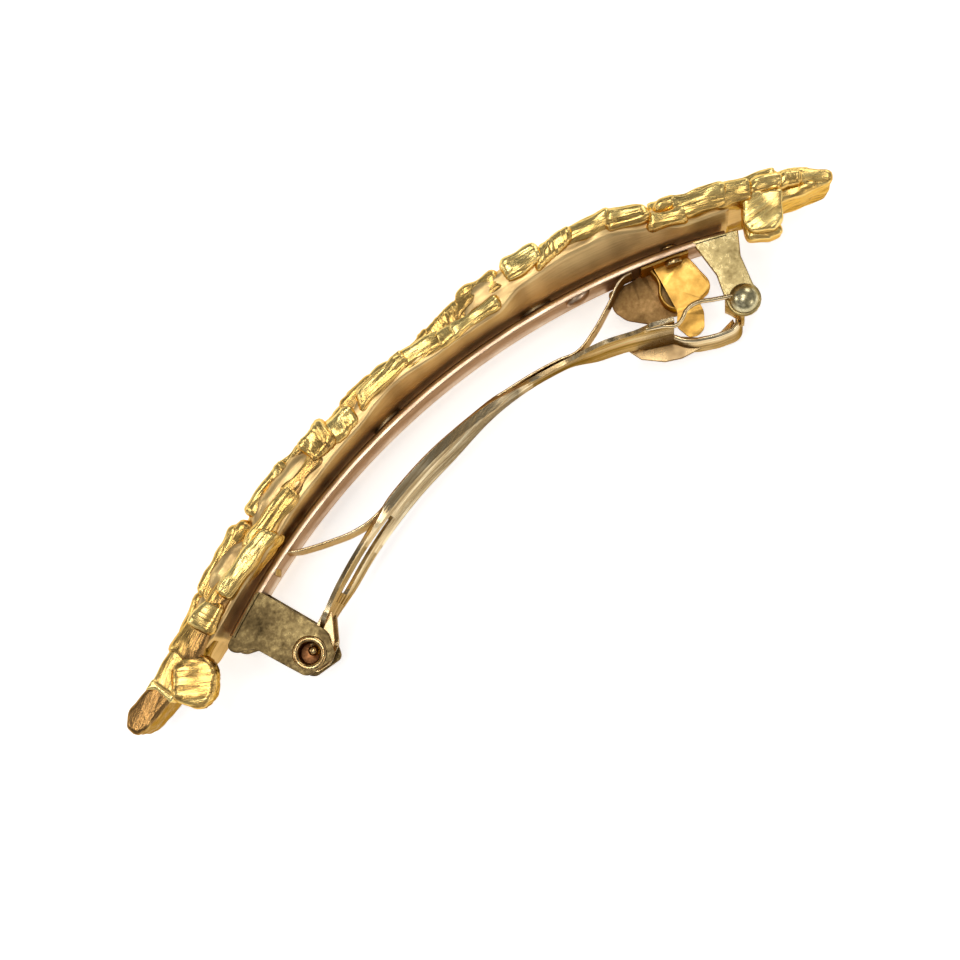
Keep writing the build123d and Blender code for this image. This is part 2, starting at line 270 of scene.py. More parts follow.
plate_bm = box_grid(260, 9, 30)
grain_layer = plate_bm.verts.layers.float_vector.new("grain")
tone_shading_layer = plate_bm.verts.layers.float.new("tone_and_painted_shading")
for vert in plate_bm.verts:
    length_share, height_share, width_share = vert.co
    along = plate_start + (plate_end - plate_start) * length_share
    edge_side = math.copysign(5, width_share - 0.5)
    facet = noise.noise(Vector((along * 0.42, height_share * 1.5, edge_side)))
    reach = between(half_width_stations, along) - rim_inset
    reach += 0.75 * facet * height_share - 0.7 * max(0.0, height_share - 0.8) / 0.2
    z = mid_z + reach * (2 * width_share - 1)
    back_out = plate_back(along, z)
    toward_edge = abs(2 * width_share - 1) ** 5
    top_out = middle_front + (between(front_stations, along) - middle_front) * toward_edge
    top_out += 0.3 * noise.noise(Vector((along * 0.6, z * 0.4, 0.0)))
    out = back_out + (max(top_out, back_out + least_thickness) - back_out) * height_share
    vert.co = arch_point(along, out, z)
    vert[grain_layer] = (along, out, z)
    # Tone: random with the facets, and a little lighter toward the front of the plate.
    vert[tone_shading_layer] = 0.36 + 0.30 * facet + 0.12 * height_share
casting_plate = new_object(plate_bm, "casting_plate", plate_gold)
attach(casting_plate, "clip")
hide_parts("casting")


# --- Casting, bark blocks: the front's nuggets, cast in one with the plate. Each is a rounded
# block with brushed grooves along it; along the near edge they step in and out of line.
def join_shape(bm, shape):
    """Joins a finished shape to a piece's bmesh, and frees it."""
    joined = bpy.data.meshes.new("joined")
    shape.to_mesh(joined)
    shape.free()
    bm.from_mesh(joined)
    bpy.data.meshes.remove(joined)


def bark_block(bm, corners, top_z, bottom_z, ridge=0.07, across=False, round_off=0.45,
               cell=0.13, tone=0.5, turn=0.0, seed=0.0):
    """Adds one block. corners are its (along, out) places: start low, end low, end high, start
    high. Its grooves run along it, or across it; turn swings it about its own middle."""
    low_start, low_end, high_end, high_start = [Vector(c) for c in corners]
    length = ((low_end - low_start).length + (high_end - high_start).length) / 2
    height = ((high_start - low_start).length + (high_end - low_end).length) / 2
    width = top_z - bottom_z
    fine = (3 * cell, cell) if not across else (cell, 2 * cell)
    cuts = (max(5, round(length / fine[0])), max(4, round(height / fine[1])),
            max(4, round(width / (1.4 * cell))))
    block = box_grid(*cuts)
    grain_at = block.verts.layers.float_vector.new("grain")
    tone_shading_at = block.verts.layers.float.new("tone_and_painted_shading")
    size = Vector((length, height, width))
    radius = min(round_off, 0.45 * min(size))
    inner = size / 2 - Vector((radius, radius, radius))
    middle = Vector(((low_start.x + low_end.x + high_end.x + high_start.x) / 4, 0,
                     (top_z + bottom_z) / 2))
    for vert in block.verts:
        share = [1 - (1 - abs(2 * c - 1)) ** 1.35 for c in vert.co]
        sign = [1 if c > 0.5 else -1 for c in vert.co]
        place = Vector([s * half * size[i] / 2 for i, (s, half) in enumerate(zip(sign, share))])
        core = Vector([max(-inner[i], min(inner[i], place[i])) for i in range(3)])
        outward = place - core
        if outward.length > 1e-6:
            outward.normalize()
            place = core + outward * radius
        if across:
            groove = noise.noise(Vector((place.x * 2.9 + seed, place.y * 0.15, place.z * 0.2)))
        else:
            groove = noise.noise(Vector((place.x * 0.12 + seed, place.y * 2.9, place.z * 2.4)))
        swell = noise.noise(Vector((place.x * 0.45, place.y * 0.6, place.z * 0.5 + seed)))
        lines = 0.5 - abs(groove) * 2.2
        worn = 0.5 + 0.5 * noise.noise(Vector((place.x * 0.5, place.z * 0.5 + seed, 3.0)))
        place += outward * (ridge * lines * (0.4 + 1.2 * worn) + 0.42 * swell)
        grain_place = Vector((place.y, place.x, place.z)) if across else place
        vert[grain_at] = grain_place + Vector((seed * 3, seed, seed))
        u = place.x / length + 0.5
        v = place.y / height + 0.5
        low = low_start.lerp(low_end, u)
        high = high_start.lerp(high_end, u)
        spot = low.lerp(high, v)
        # Tone: the block's own tone, with painted shade toward its foot and in its grooves, and
        # painted highlight toward its top and along its ridges.
        vert[tone_shading_at] = tone + 0.35 * (v - 0.5) + 1.5 * ridge * lines
        side = Vector((spot.x - middle.x, place.z))
        side.rotate(Matrix.Rotation(turn, 2))
        vert.co = arch_point(middle.x + side.x, spot.y, middle.z + side.y)
    join_shape(bm, block)


bark_gold = gold_finish("brushed_cast_bark", (0.33, 0.18, 0.06), (0.76, 0.48, 0.14),
                        (1.0, 0.78, 0.30), (0.3, 5.0, 5.0), 0.5, (0.16, 0.32),
                        (0.80, 0.60, 0.30))


def block_bmesh():
    """An empty bmesh with the casting's grain layer and its tone layer with painted shade and
    highlight.
    """
    bm = bmesh.new()
    bm.verts.layers.float_vector.new("grain")
    bm.verts.layers.float.new("tone_and_painted_shading")
    return bm


# Near-edge blocks: corners, top, bottom, groove depth, grooves across, tone. The tone is set low for
# most sunk, smooth blocks, as painted shade.
near_blocks = [
    (((-39.0, -1.5), (-34.4, -0.8), (-34.4, 1.9), (-39.0, 2.6)), 15.2, 10.0, 0.02, False, 0.30),
    (((-35.6, -1.2), (-32.6, -1.2), (-32.6, 1.2), (-35.6, 2.0)), 15.8, 11.0, 0.06, True, 0.60),
    (((-33.4, -1.2), (-29.9, -1.2), (-29.9, 1.0), (-33.4, 1.2)), 15.3, 10.0, 0.02, False, 0.28),
    (((-33.6, -0.4), (-24.6, 0.6), (-25.4, 3.2), (-32.0, 2.9)), 14.6, 8.5, 0.04, False, 0.45),
    (((-31.4, -1.3), (-23.4, -2.1), (-23.8, -0.1), (-31.0, 0.8)), 16.3, 11.5, 0.08, False, 0.68),
    (((-26.3, -1.4), (-18.4, -1.5), (-18.4, 0.9), (-26.0, 1.0)), 16.0, 11.0, 0.08, False, 0.50),
    (((-23.0, 0.4), (-14.8, 0.4), (-14.8, 2.8), (-22.6, 3.1)), 15.0, 9.0, 0.07, False, 0.50),
    (((-19.2, -1.2), (-14.0, -1.2), (-14.0, 1.0), (-19.0, 1.0)), 15.9, 10.0, 0.03, False, 0.34),
    (((-14.8, -0.6), (-11.6, -0.6), (-11.2, 2.6), (-14.4, 2.5)), 16.6, 11.5, 0.06, True, 0.52),
    (((-11.9, -1.0), (-8.5, -1.0), (-8.3, 1.3), (-11.3, 1.7)), 16.4, 11.5, 0.08, True, 0.66),
    (((-9.4, -0.6), (-4.6, -0.3), (-4.4, 2.1), (-8.4, 2.4)), 16.0, 10.0, 0.02, False, 0.34),
    (((-7.2, -0.6), (-0.7, -0.2), (-0.5, 1.9), (-6.4, 1.7)), 16.5, 11.5, 0.08, False, 0.58),
    (((-1.6, -0.6), (3.6, -0.9), (3.9, 1.2), (-0.8, 1.9)), 16.2, 11.5, 0.08, False, 0.56),
    (((3.0, -1.1), (5.6, -1.2), (5.7, 0.8), (3.4, 1.0)), 16.5, 12.0, 0.08, True, 0.62),
    (((4.9, -1.1), (10.3, -1.1), (10.5, 0.7), (5.2, 0.7)), 16.6, 11.5, 0.09, False, 0.66),
    (((6.2, 0.3), (12.2, 0.6), (11.9, 3.2), (7.6, 3.4)), 15.8, 10.5, 0.03, False, 0.42),
    (((9.6, -0.4), (13.4, 0.2), (13.6, 2.6), (10.2, 2.6)), 15.4, 10.0, 0.02, False, 0.32),
    (((12.7, 0.7), (16.8, 1.0), (16.9, 3.4), (13.2, 3.4)), 16.6, 11.5, 0.09, False, 0.70),
    (((16.1, 0.3), (20.4, 1.5), (20.5, 3.5), (17.2, 3.0)), 16.3, 11.5, 0.08, True, 0.60),
    (((19.8, 1.2), (24.8, 1.2), (25.0, 3.4), (20.6, 3.4)), 16.0, 11.0, 0.08, False, 0.58),
    (((24.3, 0.9), (28.6, 0.4), (28.7, 2.3), (25.0, 3.3)), 16.2, 11.0, 0.08, False, 0.58),
    (((28.4, -0.6), (32.3, -1.2), (32.4, 0.5), (28.8, 1.3)), 16.2, 11.5, 0.08, False, 0.58),
    (((29.2, 0.6), (31.9, 0.4), (31.9, 2.2), (30.2, 2.4)), 15.6, 10.5, 0.02, False, 0.55),
    (((31.2, -0.5), (36.7, -0.6), (36.8, 2.0), (31.6, 2.3)), 15.9, 11.0, 0.09, False, 0.58),
    (((35.8, -0.7), (39.6, -0.6), (39.7, 1.9), (36.4, 2.2)), 15.4, 10.5, 0.06, False, 0.56),
    (((39.3, -0.2), (42.6, -0.2), (43.2, 2.1), (40.2, 2.1)), 14.8, 10.0, 0.08, False, 0.62),
    (((42.6, 0.2), (45.2, 0.3), (45.2, 2.0), (43.0, 2.1)), 13.9, 9.0, 0.07, True, 0.56),
]
near_bm = block_bmesh()
# The blocks are grown to overlap along the edge, and stand a little out of the plate.
nugget_share = Vector((1.12, 0.96))
nugget_out = Vector((0, 0.2))
for number, (corners, top_z, bottom_z, ridge, across, tone) in enumerate(near_blocks):
    centre = sum((Vector(c) for c in corners), Vector((0, 0))) / 4
    corners = [centre + (Vector(c) - centre) * nugget_share + nugget_out for c in corners]
    bark_block(near_bm, corners, top_z, bottom_z, ridge, across, tone=tone, seed=number * 7.3,
               round_off=0.65, cell=0.115)
bark_near_edge = new_object(near_bm, "bark_near_edge", bark_gold)
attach(bark_near_edge, "clip")
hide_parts("casting")

# Front and far edge: rows of blocks laid like shingles, each row shifted against the next.
# Each row is given by its z and its width.
rows = [(13.2, 3.4), (10.0, 3.3), (6.8, 3.3), (3.7, 3.2)]
block_end = 46.8
draw = random.Random(11)
face_bm = block_bmesh()
for row_z, row_width in rows:
    along = -44.0 + draw.uniform(0, 3)
    while along < 42.5:
        length = min(draw.uniform(4.2, 8.2), block_end - along)
        reach = between(half_width_stations, along + length / 2)
        z_place = mid_z + (row_z - mid_z) * reach / 8.4 + draw.uniform(-0.3, 0.3)
        half = row_width * 0.56 * (0.55 + 0.45 * reach / full_half_width)
        low = 0.2
        high = [draw.uniform(1.7, 3.0), draw.uniform(2.0, 3.3)]
        if along > 40 or along < -43:
            high = [h - 0.9 for h in high]
        block_corners = ((along, low), (along + length, low), (along + length, high[1]),
                         (along, high[0]))
        smooth_block = draw.random() < 0.28
        # Smooth blocks get a darker tone: painted shade for their dark reflections.
        bark_block(face_bm, block_corners, z_place + half, z_place - half,
                   0.03 if smooth_block else 0.09, draw.random() < 0.25, cell=0.19,
                   tone=draw.uniform(0.2, 0.35) if smooth_block else draw.uniform(0.35, 0.6),
                   turn=draw.uniform(-0.22, 0.22), seed=draw.uniform(0, 90), round_off=0.6)
        along += length * draw.uniform(0.72, 0.9)
bark_face = new_object(face_bm, "bark_face", bark_gold)
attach(bark_face, "clip")
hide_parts("casting")

far_bm = block_bmesh()
along = -41.0
while along < 42.0:
    length = min(draw.uniform(3.6, 7.4), block_end - along)
    reach = between(half_width_stations, along + length / 2)
    low = between(rim_stations, along) + draw.uniform(-0.2, 0.4)
    high = [low + draw.uniform(1.9, 3.0), low + draw.uniform(1.9, 3.2)]
    block_corners = ((along, low), (along + length, low), (along + length, min(3.4, high[1])),
                     (along, min(3.4, high[0])))
    bottom_z = mid_z - reach - draw.uniform(-0.5, 0.1)
    bark_block(far_bm, block_corners, bottom_z + 4.5, bottom_z, draw.choice((0.02, 0.08, 0.09)),
               draw.random() < 0.3, cell=0.16, tone=draw.uniform(0.35, 0.68),
               seed=draw.uniform(0, 90))
    along += length * draw.uniform(0.75, 0.95)
bark_far_edge = new_object(far_bm, "bark_far_edge", bark_gold)
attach(bark_far_edge, "clip")
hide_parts("casting")


# --- Casting, end lobes: at each end the bark turns down past the plate in a blunt lobe, and runs
# out in a narrow tip. The hinge end's tip is a smooth bar whose dark tone is painted shade, with a
# folded ridge whose bright tone is a painted highlight.
def lobe(bm, outline, top_z, bottom_z, turn_over, ridge=0.05, tone=0.5, groove=0.0, seed=0.0):
    """Adds a blunt lobe from an (along, out) outline, its grooves at the angle groove."""
    shape = bmesh.new()
    grain_at = shape.verts.layers.float_vector.new("grain")
    tone_shading_at = shape.verts.layers.float.new("tone_and_painted_shading")
    face = shape.faces.new([shape.verts.new((x, y, 0)) for x, y in outline])
    face.normal_update()
    if face.normal.z < 0:
        face.normal_flip()
    grown = bmesh.ops.extrude_face_region(shape, geom=[face])
    for element in grown["geom"]:
        if isinstance(element, bmesh.types.BMVert):
            element.co.z = top_z - bottom_z
    bmesh.ops.recalc_face_normals(shape, faces=shape.faces)
    bmesh.ops.bevel(shape, geom=shape.edges[:], offset=turn_over, segments=3, profile=0.5,
                    affect="EDGES", material=-1)
    bmesh.ops.triangulate(shape, faces=[f for f in shape.faces if len(f.verts) > 4])
    for _ in range(5):
        long_edges = [e for e in shape.edges if e.calc_length() > 0.28]
        bmesh.ops.subdivide_edges(shape, edges=long_edges, cuts=1)
        bmesh.ops.triangulate(shape, faces=[f for f in shape.faces if len(f.verts) > 4])
    bmesh.ops.smooth_vert(shape, verts=shape.verts[:], factor=0.4, use_axis_x=True,
                          use_axis_y=True, use_axis_z=True)
    shape.normal_update()
    moved = []
    for vert in shape.verts:
        swung = vert.co.copy()
        swung.rotate(Matrix.Rotation(-groove, 3, "Z"))
        wave = noise.noise(Vector((swung.x * 0.25 + seed, swung.y * 2.6, swung.z * 2.6)))
        swell = noise.noise(vert.co * 0.5 + Vector((seed, 0, 0)))
        moved.append((swung, wave, vert.co + vert.normal * (2 * ridge * wave + 0.2 * swell)))
    for vert, (swung, wave, place) in zip(shape.verts, moved):
        vert[grain_at] = swung + Vector((seed, seed, 0))
        # Tone: painted light toward the lobe's top and painted shade toward its foot, with painted
        # highlight and shade along its ridges and grooves.
        vert[tone_shading_at] = tone + 0.25 * (place.z / (top_z - bottom_z) - 0.6) + 0.3 * wave
        vert.co = arch_point(place.x, place.y, bottom_z + place.z)
    join_shape(bm, shape)


end_bm = block_bmesh()
# Hinge end: the hanging lobe, the block over it, the smooth tip in painted shade and the folded ridge
# in a painted highlight.
lobe(end_bm, [(-43.4, 0.3), (-43.5, -1.4), (-43.5, -2.9), (-42.6, -3.6), (-41.0, -3.9),
              (-39.2, -3.2), (-38.2, -2.5), (-37.9, -1.3), (-38.5, 0.4), (-40.5, 1.5)],
     15.2, 12.4, 0.6, 0.06, 0.34, math.radians(-62), 3.0)
lobe(end_bm, [(-43.3, 0.2), (-42.6, 3.0), (-40.1, 2.7), (-37.4, 2.2), (-38.4, -0.4),
              (-40.6, -0.6)], 14.7, 9.0, 0.5, 0.015, 0.40, 0.0, 5.0)
# The smooth tip: its tone is set very low, painted shade.
lobe(end_bm, [(-48.4, 3.1), (-47.2, 2.0), (-43.2, 0.5), (-42.4, 3.2), (-44.0, 3.9),
              (-46.2, 4.9), (-47.9, 4.4)], 12.2, 5.6, 0.5, 0.03, 0.05, 0.0, 8.0)
# The folded ridge: its tone is set high, a painted highlight.
lobe(end_bm, [(-44.0, 0.4), (-43.0, 0.1), (-41.9, 2.6), (-42.4, 3.3), (-43.7, 3.5),
              (-43.2, 2.4)], 13.9, 9.0, 0.3, 0.01, 0.8, 0.0, 9.0)
# Latch end: the tip, the hanging lobe and the small block under it.
lobe(end_bm, [(42.4, -0.7), (46.6, 0.1), (48.5, 0.6), (48.7, 1.4), (48.4, 2.1), (45.4, 2.9),
              (42.8, 2.2)], 12.2, 5.6, 0.4, 0.04, 0.45, 0.0, 12.0)
lobe(end_bm, [(38.8, 0.8), (38.0, -2.4), (38.5, -3.6), (41.4, -3.9), (42.3, -2.9),
              (42.9, 0.2)], 14.7, 12.0, 0.3, 0.035, 0.58, 0.4, 15.0)
lobe(end_bm, [(38.2, -2.0), (38.3, -4.0), (40.6, -4.5), (42.3, -4.1), (41.9, -2.4)],
     13.4, 11.0, 0.4, 0.02, 0.5, 0.0, 17.0)
end_lobes = new_object(end_bm, "end_lobes", bark_gold)
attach(end_lobes, "clip")
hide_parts("casting")


# --- Base bar: stamped sheet brass, bent to an arch, its long edges rounded. Two ears are folded
# down at the hinge end and one at the latch end. It is soldered to the rib of the casting.
def sheet_finish(name, deep, middle, pale, scale, roughness, stretch=(1.0, 1.0, 1.0), bump=0.15,
                 edge_tint=(0.50, 0.36, 0.20)):
    """Worn sheet brass: tarnish in clouds over a satin ground, with fine drawing lines."""
    material = bpy.data.materials.new(name)
    material.use_nodes = True
    tree = material.node_tree
    shader = tree.nodes["Principled BSDF"]
    shader.inputs["Metallic"].default_value = 1.0
    shader.inputs["Specular Tint"].default_value = (*edge_tint, 1)
    place = add_node(tree, "ShaderNodeTexCoord")
    mapping = add_node(tree, "ShaderNodeMapping")
    mapping.inputs["Scale"].default_value = stretch
    cloud = add_node(tree, "ShaderNodeTexNoise", Scale=scale, Detail=6.0, Roughness=0.65)
    fine = add_node(tree, "ShaderNodeTexNoise", Scale=scale * 9, Detail=3.0, Roughness=0.6)
    mix = add_node(tree, "ShaderNodeMath", operation="MULTIPLY_ADD")
    mix.inputs[1].default_value = 0.35
    soft = add_node(tree, "ShaderNodeMath", operation="MULTIPLY")
    soft.inputs[1].default_value = 0.72
    tones = add_node(tree, "ShaderNodeValToRGB")
    tones.color_ramp.elements[0].position = 0.36
    tones.color_ramp.elements[0].color = (*deep, 1)
    tones.color_ramp.elements[1].position = 0.68
    tones.color_ramp.elements[1].color = (*pale, 1)
    tones.color_ramp.elements.new(0.52).color = (*middle, 1)
    gloss = add_node(tree, "ShaderNodeMapRange")
    gloss.inputs["From Min"].default_value = 0.35
    gloss.inputs["From Max"].default_value = 0.65
    gloss.inputs["To Min"].default_value = roughness[1]
    gloss.inputs["To Max"].default_value = roughness[0]
    relief = add_node(tree, "ShaderNodeBump", Strength=bump, Distance=0.00005)
    link = tree.links.new
    link(place.outputs["Object"], mapping.inputs["Vector"])
    link(mapping.outputs["Vector"], cloud.inputs["Vector"])
    link(mapping.outputs["Vector"], fine.inputs["Vector"])
    link(cloud.outputs["Fac"], soft.inputs[0])
    link(fine.outputs["Fac"], mix.inputs[0])
    link(soft.outputs["Value"], mix.inputs[2])
    link(mix.outputs["Value"], tones.inputs["Fac"])
    link(tones.outputs["Color"], shader.inputs["Base Color"])
    link(mix.outputs["Value"], gloss.inputs["Value"])
    link(gloss.outputs["Result"], shader.inputs["Roughness"])
    link(fine.outputs["Fac"], relief.inputs["Height"])
    link(relief.outputs["Normal"], shader.inputs["Normal"])
    return material


bar_crown = (4.0, 5.1)
bar_radius = 82.0
bar_start = -34.0
bar_end = 35.4
bar_sheet = 0.7
bar_half_width = 2.8
bar_edge_round = bar_sheet * 0.3
bar_edge_curl = 0.45
ear_sheet = 0.6
near_face = mid_z + bar_half_width
far_face = mid_z - bar_half_width
rivet_radius = 1.45
latch_round = 1.85
pivot = (-27.2, -9.7)
stop_centre = (31.9, -7.5)


def bar_height(x):
    """Underside of the base bar at x."""
    return bar_crown[1] - bar_radius + math.sqrt(bar_radius**2 - (x - bar_crown[0]) ** 2)


def cut_sheet(bm, outline, low_z, high_z, corner, edge, hole=None):
    """Adds a flat piece of sheet from its (x, y) outline: rounded corners and broken edges. hole
    is the (x, y, radius) of a hole through it."""
    shape = bmesh.new()
    loops = [outline]
    if hole:
        loops.append([(hole[0] + hole[2] * math.cos(math.tau * step / 32),
                       hole[1] + hole[2] * math.sin(math.tau * step / 32)) for step in range(32)])
    for loop in loops:
        verts = [shape.verts.new((x, y, low_z)) for x, y in loop]
        for pair in zip(verts, verts[1:] + verts[:1]):
            shape.edges.new(pair)
    if corner:
        bmesh.ops.bevel(shape, geom=shape.verts[:len(outline)],
                        offset=corner, segments=5, profile=0.5, affect="VERTICES", material=-1,
                        clamp_overlap=True)
    bmesh.ops.triangle_fill(shape, use_beauty=True, edges=shape.edges[:])
    grown = bmesh.ops.extrude_face_region(shape, geom=shape.faces[:])
    for element in grown["geom"]:
        if isinstance(element, bmesh.types.BMVert):
            element.co.z = high_z
    bmesh.ops.recalc_face_normals(shape, faces=shape.faces)
    rims = [e for e in shape.edges if e.calc_face_angle(0.0) > math.radians(60)
            and abs(e.verts[0].co.z - e.verts[1].co.z) < 1e-4]
    bmesh.ops.bevel(shape, geom=rims, offset=edge, segments=3, profile=0.5, affect="EDGES",
                    material=-1, clamp_overlap=True)
    for vert in shape.verts:
        vert.co *= mm
    join_shape(bm, shape)


def finish_sheet(piece, body, slot, *nodes, angle=40):
    """Smooths a sheet piece except across its sharp bends, ties it to its body, and hides the CAD
    nodes it stands for.
    """
    piece.data.set_sharp_from_angle(angle=math.radians(angle))
    flats = piece.modifiers.new("flat_faces", "WEIGHTED_NORMAL")
    flats.keep_sharp = True
    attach(piece, body)
    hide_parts(*nodes)


bar_bm = box_grid(110, 6, 16)
for vert in bar_bm.verts:
    u, v, w = vert.co
    along = bar_start + (bar_end - bar_start) * u
    flat_y = bar_sheet / 2 - bar_edge_round
    flat_z = bar_half_width - bar_edge_round
    spread = 1 - (1 - abs(2 * w - 1)) ** 1.8
    place = Vector((0, (v - 0.5) * bar_sheet, math.copysign(spread * bar_half_width, w - 0.5)))
    core = Vector((0, max(-flat_y, min(flat_y, place.y)), max(-flat_z, min(flat_z, place.z))))
    outward = place - core
    if outward.length > 1e-6:
        place = core + outward.normalized() * bar_edge_round
    curl = bar_edge_curl * (abs(place.z) / bar_half_width) ** 6
    vert.co = arch_point(along, place.y + bar_sheet / 2 - curl, mid_z + place.z, bar_crown,
                         bar_radius)
bar_polish = sheet_finish("bar_polish", (0.40, 0.26, 0.17), (0.62, 0.45, 0.31),
                          (0.80, 0.64, 0.48), 160.0, (0.30, 0.42), (0.25, 1.0, 1.0), 0.05,
                          (0.42, 0.29, 0.20))
base_bar = new_object(bar_bm, "base_bar_sheet", bar_polish)
finish_sheet(base_bar, "clip", "clip_brass", "base_bar")

ear_outline = [(-33.9, bar_height(-33.9) + 0.3), (-27.7, bar_height(-27.7) + 0.3), (-24.3, -9.0),
               (-25.2, -11.65), (-28.9, -11.55), (-30.2, -8.8), (-31.6, -5.7), (-33.6, -5.0)]
latch_outline = [(31.3, bar_height(31.3) + 0.3), (36.0, bar_height(36.0) + 0.2), (34.5, -3.6)]
latch_outline += [(stop_centre[0] + latch_round * math.cos(math.radians(angle)),
                   stop_centre[1] + latch_round * math.sin(math.radians(angle)))
                  for angle in range(20, -201, -20)]
latch_outline += [(31.2, -3.7)]
ears_bm = bmesh.new()
rivet_hole = (*pivot, rivet_radius)
cut_sheet(ears_bm, ear_outline, near_face - ear_sheet, near_face, 0.55, 0.18, rivet_hole)
cut_sheet(ears_bm, ear_outline, far_face, far_face + ear_sheet, 0.55, 0.18, rivet_hole)
cut_sheet(ears_bm, latch_outline, near_face - ear_sheet, near_face, 0.0, 0.2)
ear_patina = sheet_finish("ear_patina", (0.030, 0.020, 0.008), (0.105, 0.072, 0.030),
                          (0.27, 0.20, 0.085), 230.0, (0.26, 0.42), (1.0, 1.0, 1.0), 0.2)
latch_patina = sheet_finish("latch_patina", (0.20, 0.14, 0.055), (0.44, 0.34, 0.15),
                            (0.80, 0.66, 0.36), 230.0, (0.22, 0.36), (1.0, 1.0, 1.0), 0.15)
folded_ears = new_object(ears_bm, "folded_ears", ear_patina, latch_patina)
for face in folded_ears.data.polygons:
    face.material_index = 1 if face.center.x > 0 else 0
finish_sheet(folded_ears, "clip", "clip_brass", "base_bar")


# --- Hinge rivet: a semi-tubular brass rivet through both ears, rolled over to a rim. Its open
# end shows on the near ear; the inside of the bore is dark copper brown, painted shade.
def turned(bm, outline, centre, steps=48):
    """Adds a turned part: an outline of (radius, z) points spun round a centre."""
    shape = bmesh.new()
    verts = [shape.verts.new((centre[0] + radius, centre[1], z)) for radius, z in outline]
    edges = [shape.edges.new(pair) for pair in zip(verts, verts[1:])]
    bmesh.ops.spin(shape, geom=verts + edges, cent=(*centre, 0), axis=(0, 0, 1),
                   angle=math.tau, steps=steps, use_merge=True)
    bmesh.ops.remove_doubles(shape, verts=shape.verts, dist=1e-4)
    bmesh.ops.recalc_face_normals(shape, faces=shape.faces)
    for vert in shape.verts:
        vert.co *= mm
    join_shape(bm, shape)


core_radius = 0.55
bore_radius = 1.1
rivet_bm = bmesh.new()
turned(rivet_bm, [(0, far_face - 0.35), (1.6, far_face - 0.35), (1.8, far_face - 0.25),
                  (1.85, far_face - 0.1), (1.8, far_face), (rivet_radius, far_face),
                  (rivet_radius, near_face), (1.78, near_face), (1.85, near_face + 0.1),
                  (1.8, near_face + 0.24), (1.6, near_face + 0.34), (1.4, near_face + 0.33),
                  (1.22, near_face + 0.2), (1.12, near_face - 0.1),
                  (bore_radius, near_face - 0.6), (1.05, near_face - 1.3),
                  (0, near_face - 1.6)], pivot)
rivet_patina = sheet_finish("rivet_patina", (0.16, 0.09, 0.04), (0.42, 0.27, 0.11),
                            (0.80, 0.62, 0.32), 380.0, (0.18, 0.36), (1.0, 1.0, 1.0), 0.2)
core_middle = (pivot[0] + 0.42, pivot[1] + 0.05)
turned(rivet_bm, [(0, near_face - 1.5), (core_radius, near_face - 1.5),
                  (core_radius, near_face - 0.7),
                  (0.4, near_face - 0.45), (0, near_face - 0.36)], core_middle, 24)
# Dark copper brown painted shade for the inside of the bore.
bore_painted_shade = sheet_finish("bore_painted_shade", (0.07, 0.025, 0.010), (0.16, 0.065, 0.025),
                          (0.30, 0.13, 0.05), 420.0, (0.35, 0.5))
hinge_rivet = new_object(rivet_bm, "hinge_rivet_tube", rivet_patina, bore_painted_shade)
# Faces inside the bore, except those on the core, get the painted shade.
for face in hinge_rivet.data.polygons:
    from_axis = math.dist(face.center.xy, Vector(pivot) * mm)
    from_core = math.dist(face.center.xy, Vector(core_middle) * mm)
    if mid_z * mm < face.center.z < (near_face - 0.15) * mm and from_axis < (bore_radius + 0.1) * mm:
        face.material_index = 0 if from_core < (core_radius + 0.01) * mm else 1
finish_sheet(hinge_rivet, "clip", "rivet_brass", "hinge_rivet", angle=60)


# --- Stop stud: a domed brass stud on the near face of the latch ear; its olive grey is a painted
# reflection of its greenish surroundings. Its shank goes through the ear and is spun flush on the
# inside.
dome_radius = 1.6
dome_height = 1.45
shank_radius = 0.8
stud_bm = bmesh.new()
dome = [(shank_radius, near_face - ear_sheet), (shank_radius, near_face - 0.02),
        (1.5, near_face - 0.02)]
dome += [(dome_radius * math.cos(math.radians(angle)),
          near_face + dome_height * math.sin(math.radians(angle))) for angle in range(6, 90, 7)]
turned(stud_bm, [(0, near_face - ear_sheet)] + dome + [(0, near_face + dome_height)], stop_centre)
# Olive grey ramp: painted reflection of the dome's greenish surroundings over the stud's brass.
stud_grey = sheet_finish("stud_grey", (0.24, 0.20, 0.10), (0.48, 0.42, 0.24),
                         (0.74, 0.66, 0.42), 520.0, (0.24, 0.38), (1.0, 1.0, 1.0), 0.15)
stop_stud = new_object(stud_bm, "stop_stud_dome", stud_grey)
finish_sheet(stop_stud, "clip", "aged_brass", "stop_stud", angle=60)


# --- Clasp arm: spring brass sheet, bent to an arch and a little twisted, with its edges turned
# up along the middle and a slot near the hinge. Its head opens into a looped window.
arm_crown = (3.0, -0.55)
arm_radius = 52.0
arm_sheet = 0.5
arm_start = -24.9
arm_end = 24.4
slot_start = -20.8
slot_end = -11.6
groove_start = -22.0
arm_half_widths = [(arm_start, 1.9), (-23.4, 3.2), (-20.0, 3.7), (-6.0, 3.7), (8.0, 2.0), (12.5, 1.9),
                   (17.5, 3.3), (20.4, 2.7), (22.6, 4.2), (arm_end, 4.4)]
arm_twist = [(-25.0, 0.0), (-19.0, 0.7), (-4.0, 0.7), (6.0, -0.1), (13.0, -0.1), (17.0, 0.4),
             (arm_end, 1.0)]
arm_lips = [(-15.0, 0.0), (-10.0, 0.6), (3.0, 0.6), (10.0, 0.0)]
arm_ribs = [(-23.0, 0.0), (-18.0, 0.12), (-11.0, 0.25), (4.0, 0.25), (10.0, 0.05), (arm_end, 0.0)]
lip_width = 0.4
lug_sheet = 0.55
